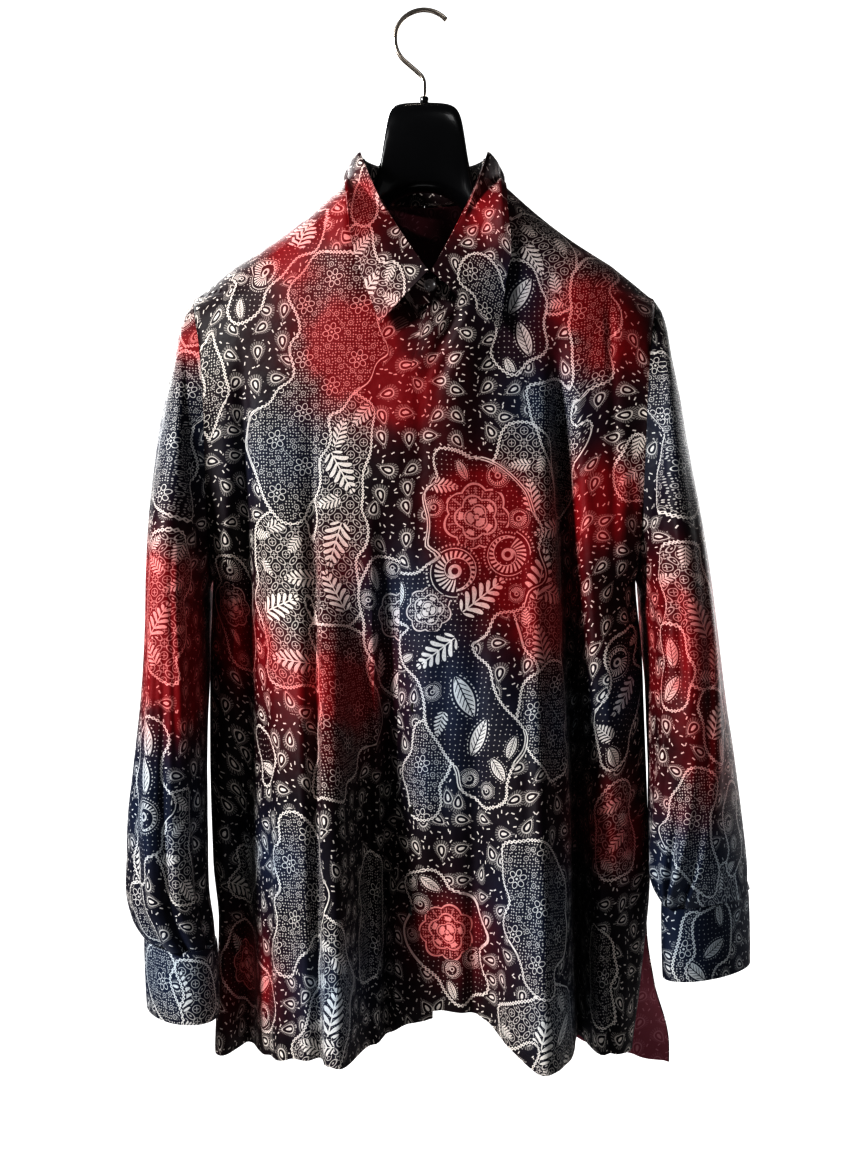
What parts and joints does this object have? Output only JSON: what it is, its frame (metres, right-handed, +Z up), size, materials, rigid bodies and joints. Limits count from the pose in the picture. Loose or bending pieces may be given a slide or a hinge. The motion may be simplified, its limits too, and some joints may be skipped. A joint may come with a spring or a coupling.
{
  "type": "batik shirt on a hanger",
  "caption": "Long-sleeved batik shirt with a turn-down collar, covered front fastening, buttoned cuffs and side vents, hung from a rail or a nail by the hook of its moulded hanger.",
  "frame": {"origin": "inside top of the hanger's hook, the point that rests on a nail or a rail", "axes": "+Z up, the front of the shirt faces -Y, +X is the wearer's left"},
  "size_m": [0.5492, 0.1928, 0.9377],
  "materials": {
    "cloth": "printed cotton, soft sheen",
    "button": "polished",
    "plastic": "moulded, glossy",
    "steel": "bent wire"
  },
  "bodies": {
    "root": {"front_left": "cloth", "front_right": "cloth", "back": "cloth", "sleeve_left": "cloth", "sleeve_right": "cloth", "cuff_left": "cloth", "cuff_right": "cloth", "collar_stand": "cloth", "collar_leaf_left": "cloth", "collar_leaf_right": "cloth", "top_button": "button", "fly_button_1": "button", "fly_button_2": "button", "fly_button_3": "button", "fly_button_4": "button", "fly_button_5": "button", "fly_button_6": "button", "cuff_button_left": "button", "cuff_button_right": "button", "hanger_body": "plastic", "hanger_nut": "plastic", "hanger_hook": "steel"}
  },
  "joints": []
}
